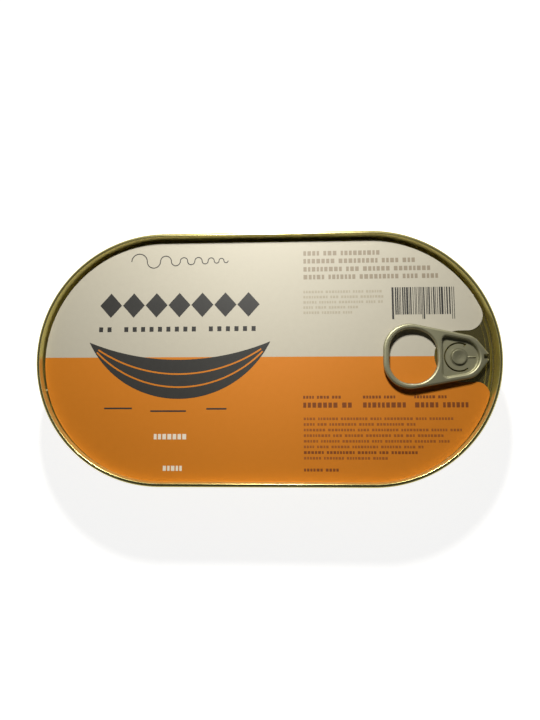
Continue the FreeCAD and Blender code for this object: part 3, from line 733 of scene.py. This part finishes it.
def makeRivet():
    bm = bmesh.new()
    panel = canTop - end["panel"]
    seat = tab["floor"] - tab["sheet"] - rivet["below"]
    clamp = tab["floor"] + rivet["above"]
    crest = tab["floor"] + rivet["tall"]
    cornerWire(bm, [
        (0, panel - rivet["bossSunk"]),
        (rivet["boss"], panel - rivet["bossSunk"]),
        (rivet["boss"], panel, rivet["bossRound"]),
        (rivet["boss"] - rivet["bossLean"], seat, rivet["bossTopRound"]),
        (rivet["shank"], seat),
        (rivet["shank"], clamp),
        (rivet["collar"], clamp),
        (rivet["collar"], tab["floor"] + rivet["collarTall"], rivet["collarRound"]),
        (rivet["head"], tab["floor"] + rivet["collarTall"] / 2),
        (rivet["head"], crest, rivet["edge"]),
        (rivet["dimple"], crest, rivet["dimpleRound"]),
        (rivet["dimple"] * rivet["dimpleFoot"], crest - rivet["deep"], rivet["dimpleFootRound"]),
        (0, crest - rivet["deep"]),
    ], lambda along, height: (rivet["x"] + along, tab["aside"], height), closed=False,
        segments=rivet["cornerSteps"])
    bmesh.ops.spin(bm, geom=bm.verts[:] + bm.edges[:], cent=(rivet["x"], tab["aside"], 0), axis=(0, 0, 1),
                   angle=math.tau, steps=rivet["steps"], use_merge=True)
    closeUp(bm)
    finishPiece(bm, "rivetHead", [makeMetal("rivetMetal", rivetLook)], crease=40)


makeRivet()


# the paper label, cream above and orange below, with a bay round the tab
label = {"shift": -0.65, "bay": 8.2, "bayCentre": 61.6, "cornerFar": 5.0, "cornerNear": 3.8, "margin": 1.3,
         "lift": 0.045, "above": 0.01, "weld": 0.002, "baySteps": 24, "cornerSteps": 20, "endSteps": 60,
         "farEndSteps": 160, "split": 0.17, "splitSlope": 0.0019,
         "cream": paint(190, 184, 166), "orange": paint(205, 122, 27), "core": paint(226, 221, 210)}
paperLook = {"mottle": 0.10, "fibre": 0.5, "rough": (0.42, 0.60), "bump": 0.006, "specular": 0.4}


def makeLabelMaterial():
    material, tree, paper = makePrint("printedPaper", label["cream"], paperLook)
    side = addNode(tree, "SeparateXYZ", {0: placeOf(tree)}).outputs
    line = maths(tree, "MULTIPLY_ADD", side["X"], label["splitSlope"], side["Y"])
    above = maths(tree, "GREATER_THAN", line, label["split"])
    printed = mixColours(tree, above, label["orange"], label["cream"])
    tree.links.new(printed, paper["Colour"].node.inputs["Colour"])
    return material


def bayCorner(side, radius, reach):
    # centre of the corner where the bay meets the outline, and how far its arc turns past square
    high = label["bay"] + radius
    rise = high - side * label["shift"]
    across = math.sqrt((reach - radius) ** 2 - rise ** 2)
    return (endCentre + across, side * high), math.degrees(math.atan2(rise, across))


def makeLabel():
    bm = bmesh.new()
    reach = labelHigh.y - label["shift"]
    middle, bay, centre = label["shift"], label["bay"], label["bayCentre"]
    far, farTurn = bayCorner(1, label["cornerFar"], reach)
    near, nearTurn = bayCorner(-1, label["cornerNear"], reach)
    first = bm.verts.new((centre - bay, 0, 0))
    last = arcFrom(bm, first, (centre, 0), -90, label["baySteps"])
    last = lineFrom(bm, last, far[0], bay)
    last = arcFrom(bm, last, far, 90 + farTurn, label["cornerSteps"])
    last = arcFrom(bm, last, (endCentre, middle), 90 - farTurn, label["endSteps"])
    last = lineFrom(bm, last, -endCentre, middle + reach)
    last = arcFrom(bm, last, (-endCentre, middle), 180, label["farEndSteps"])
    last = lineFrom(bm, last, endCentre, middle - reach)
    last = arcFrom(bm, last, (endCentre, middle), 90 - nearTurn, label["endSteps"])
    last = arcFrom(bm, last, near, 90 + nearTurn, label["cornerSteps"])
    last = lineFrom(bm, last, centre, -bay)
    arcFrom(bm, last, (centre, 0), -90, label["baySteps"])
    bmesh.ops.remove_doubles(bm, verts=bm.verts, dist=label["weld"])
    plan = bmesh.ops.edgeloop_fill(bm, edges=bm.edges)["faces"]
    # the margin over the countersink isn't held down, so it lifts a little towards its edge
    rim = bm.verts[:]
    bmesh.ops.inset_region(bm, faces=plan, thickness=label["margin"], use_boundary=True,
                           use_even_offset=True)
    bmesh.ops.translate(bm, vec=(0, 0, label["lift"]), verts=rim)
    bmesh.ops.recalc_face_normals(bm, faces=bm.faces)
    if max(bm.faces, key=lambda face: face.calc_area()).normal.z < 0:
        bmesh.ops.reverse_faces(bm, faces=bm.faces)
    bottom = labelLow.z + label["above"]
    bmesh.ops.translate(bm, vec=(0, 0, bottom), verts=bm.verts)
    thicken(bm, bm.faces[:], labelHigh.z - bottom)
    bmesh.ops.recalc_face_normals(bm, faces=bm.faces)
    for face in bm.faces:
        face.material_index = 0 if face.normal.z > 0.5 else 1
    core = makePrint("paperCore", label["core"], paperLook)[0]
    finishPiece(bm, "labelSheet", [makeLabelMaterial(), core], "label")


makeLabel()


# the print: plain marks in the places and weights of a pack's print
inkTop = labelHigh.z + 0.012
inkThick = 0.016
inks = {"charcoal": paint(50, 49, 46), "grey": paint(150, 138, 118), "faint": paint(172, 163, 142),
        "brown": paint(126, 68, 24), "tan": paint(152, 86, 30), "white": paint(236, 226, 206),
        "orange": label["orange"]}
inkLook = {"mottle": 0.14, "fibre": 0.4, "rough": (0.40, 0.55), "bump": 0.005, "specular": 0.5}


def slab(bm, left, right, low, high):
    bmesh.ops.create_cube(bm, size=1, matrix=Matrix.Translation(((left + right) / 2, (low + high) / 2, 0))
                          @ Matrix.Diagonal((right - left, high - low, inkThick, 1)))


dash = {"run": (3, 9), "wide": (0.55, 0.95), "gap": 0.32, "space": 0.7}


def dashes(bm, left, right, middle, tall, letter, seed):
    # a line of small marks in word-like runs
    pick = random.Random(seed)
    x = left
    while x < right - letter:
        for _ in range(pick.randint(*dash["run"])):
            wide = letter * pick.uniform(*dash["wide"])
            if x + wide > right:
                break
            slab(bm, x, x + wide, middle - tall / 2, middle + tall / 2)
            x += wide + letter * dash["gap"]
        x += letter * dash["space"]


def finishInk(bm, name, ink):
    bmesh.ops.translate(bm, vec=(0, 0, inkTop), verts=bm.verts)
    bmesh.ops.recalc_face_normals(bm, faces=bm.faces)
    finishPiece(bm, name, [makePrint(name + "Ink", inks[ink], inkLook)[0]])


# left, right, middle, height and width of a letter, for each line
smallPrint = {
    "grey": [(12.3, 37.1, 34.0, 1.5, 1.35), (12.3, 48.9, 31.4, 1.5, 1.35), (12.3, 54.2, 28.7, 1.5, 1.35),
             (12.3, 56.4, 26.1, 1.5, 1.35)],
    "faint": [(12.2, 37.6, 21.2, 0.8, 0.85), (12.2, 38.0, 19.5, 0.8, 0.85), (12.2, 38.5, 17.8, 0.8, 0.85),
              (12.2, 30.0, 16.1, 0.8, 0.85), (12.2, 28.0, 14.4, 0.8, 0.85)],
    "brown": [(11.9, 28.5, -15.3, 1.6, 1.45), (30.7, 45.6, -15.3, 1.6, 1.45), (46.9, 64.1, -15.3, 1.6, 1.45),
              (11.9, 24.1, -12.8, 0.9, 0.95), (30.7, 41.0, -12.8, 0.9, 0.95), (46.7, 56.8, -12.8, 0.9, 0.95),
              (12.0, 48.1, -30.1, 0.85, 0.95), (12.0, 23.2, -35.5, 0.9, 0.95)],
    "tan": [(12.0, 60.0, -19.6, 0.8, 0.9), (12.0, 47.1, -21.35, 0.8, 0.9), (12.0, 61.1, -23.1, 0.8, 0.9),
            (12.0, 56.5, -24.85, 0.8, 0.9), (12.0, 57.4, -26.6, 0.8, 0.9), (12.0, 49.8, -28.35, 0.8, 0.9),
            (12.0, 38.8, -31.85, 0.8, 0.9)],
    "white": [(-35.7, -22.8, -25.2, 1.7, 1.4), (-32.6, -26.4, -35.1, 1.6, 1.3)],
}


def makeSmallPrint():
    for ink, lines in smallPrint.items():
        bm = bmesh.new()
        for seed, (left, right, middle, tall, letter) in enumerate(lines):
            dashes(bm, left, right, middle, tall, letter, seed + len(ink))
        finishInk(bm, ink + "Lines", ink)


heading = {"left": -54.5, "right": -1.8, "low": 13.3, "high": 21.4, "diamonds": 7, "fill": 0.96,
           "dotLow": 8.6, "dotHigh": 10.2, "dots": 19, "dotFill": 0.48, "gaps": (2, 12)}


def makeHeading():
    # a row of diamonds with a row of small squares under it
    bm = bmesh.new()
    middle, tall = (heading["low"] + heading["high"]) / 2, heading["high"] - heading["low"]
    pitch = (heading["right"] - heading["left"]) / heading["diamonds"]
    for i in range(heading["diamonds"]):
        place = Matrix.Translation((heading["left"] + pitch * (i + 0.5), middle, 0))
        size = Matrix.Diagonal((pitch / 2 * heading["fill"], tall / 2, 1, 1))
        made = bmesh.ops.create_circle(bm, cap_ends=True, radius=1, segments=4, matrix=place @ size)["verts"]
        thicken(bm, list({face for vert in made for face in vert.link_faces}), inkThick)
    pitch = (heading["right"] - heading["left"]) / heading["dots"]
    for i in range(heading["dots"]):
        if i not in heading["gaps"]:
            left = heading["left"] + pitch * i
            slab(bm, left, left + pitch * heading["dotFill"], heading["dotLow"], heading["dotHigh"])
    return bm


barCode = {"left": 40.5, "right": 60.3, "low": 13.5, "high": 22.4, "guard": 12.0, "modules": 95, "seed": 5,
           "widths": (1, 1, 2, 2, 3), "gaps": (1, 1, 2, 2), "guards": ((0, 3), (45, 49), (91, 95))}


def makeBars(bm):
    # made-up stripes, with no number in them
    pick = random.Random(barCode["seed"])
    module = (barCode["right"] - barCode["left"]) / barCode["modules"]
    at = 0
    while at < barCode["modules"]:
        wide = pick.choice(barCode["widths"])
        long = any(first <= at <= last for first, last in barCode["guards"])
        left = barCode["left"] + at * module
        right = min(left + wide * module, barCode["right"])
        slab(bm, left, right, barCode["guard"] if long else barCode["low"], barCode["high"])
        at += wide + pick.choice(barCode["gaps"])


boat = {"left": -57.5, "right": 1.5, "bow": 5.2, "keel": -13.2, "sheer": -0.6, "steps": 48,
        "planks": (-5.0, -9.2), "plankWide": 0.5, "plankShort": 0.06, "rippleTall": 0.5,
        "ripples": ((-52.0, -43.0, -16.2), (-37.0, -25.5, -17.1), (-19.0, -12.5, -16.4))}


def sagArc(depth):
    # centre and degrees of the arc that hangs to this depth between bow and stern
    half = (boat["right"] - boat["left"]) / 2
    sag = boat["bow"] - depth
    radius = (half * half + sag * sag) / (2 * sag)
    centre = ((boat["left"] + boat["right"]) / 2, depth + radius)
    return centre, 2 * math.degrees(math.asin(half / radius))


def makeBoat(bm):
    # a rowing boat that floats on the line between the two colours
    ends = []
    for depth in (boat["keel"], boat["sheer"]):
        centre, angle = sagArc(depth)
        first = bm.verts.new((boat["left"], boat["bow"], 0))
        ends.append((first, arcFrom(bm, first, centre, angle, boat["steps"])))
    bmesh.ops.pointmerge(bm, verts=[ends[0][0], ends[1][0]], merge_co=ends[0][0].co)
    bmesh.ops.pointmerge(bm, verts=[ends[0][1], ends[1][1]], merge_co=ends[0][1].co)
    hull = bmesh.ops.edgeloop_fill(bm, edges=[edge for edge in bm.edges if not edge.link_faces])["faces"]
    thicken(bm, hull, inkThick)
    half = boat["rippleTall"] / 2
    for left, right, middle in boat["ripples"]:
        slab(bm, left, right, middle - half, middle + half)


def makePlanks():
    # the gaps between planks, in the label's own orange
    bm = bmesh.new()
    for depth in boat["planks"]:
        centre, angle = sagArc(depth)
        start = bm.verts.new((boat["left"], boat["bow"], 0))
        spare = angle * boat["plankShort"]
        inward = Matrix.Rotation(math.radians(spare), 3, "Z")
        bmesh.ops.rotate(bm, verts=[start], cent=(*centre, 0), matrix=inward)
        out = (start.co - Vector((*centre, 0))).normalized() * boat["plankWide"]
        other = bm.verts.new(start.co + out)
        edge = bm.edges.new((start, other))
        bmesh.ops.spin(bm, geom=[start, other, edge], cent=(*centre, 0), axis=(0, 0, 1),
                       angle=math.radians(angle - 2 * spare), steps=boat["steps"])
    thicken(bm, bm.faces[:], inkThick)
    return bm


flourish = {"left": -44.3, "middle": 32.0, "wide": 0.3, "steps": 14,
            "waves": (2.6, 2.2, 1.8, 1.5, 1.2, 1.2, 1.2, 1.0, 1.0, 0.8, 0.8, 0.7)}


def makeFlourish(bm):
    # a fine wavy line over the heading, of half rounds that go down and up in turn
    old = set(bm.faces)
    x, way = flourish["left"], -1
    for radius in flourish["waves"]:
        ends = [bm.verts.new((x + side * flourish["wide"] / 2, flourish["middle"], 0)) for side in (-1, 1)]
        bmesh.ops.spin(bm, geom=[*ends, bm.edges.new(ends)], cent=(x + radius, flourish["middle"], 0),
                       axis=(0, 0, 1), angle=way * math.pi, steps=flourish["steps"])
        x += radius * 2
        way = -way
    thicken(bm, list(set(bm.faces) - old), inkThick)


nibs = {"radius": 0.2, "sides": 7,
        "places": ((-72.2, -9.2), (-71.0, -10.2), (-63.8, -25.0), (66.2, 19.6), (56.5, -31.7), (56.4, -33.5))}


def makeNibs():
    # specks where the paper's coating has come off
    bm = bmesh.new()
    for x, y in nibs["places"]:
        made = bmesh.ops.create_circle(bm, cap_ends=True, radius=nibs["radius"], segments=nibs["sides"],
                                       matrix=Matrix.Translation((x, y, 0)))["verts"]
        thicken(bm, list({face for vert in made for face in vert.link_faces}), inkThick)
    return bm


def makeDarkPrint():
    bm = makeHeading()
    makeBars(bm)
    makeBoat(bm)
    makeFlourish(bm)
    finishInk(bm, "darkPrint", "charcoal")
    finishInk(makeNibs(), "paperNibs", "white")
    bm = makePlanks()
    bmesh.ops.translate(bm, vec=(0, 0, inkThick), verts=bm.verts)
    finishInk(bm, "plankLines", "orange")


makeSmallPrint()
makeDarkPrint()
print("print ready")

bpy.context.scene.view_settings.view_transform = "Standard"
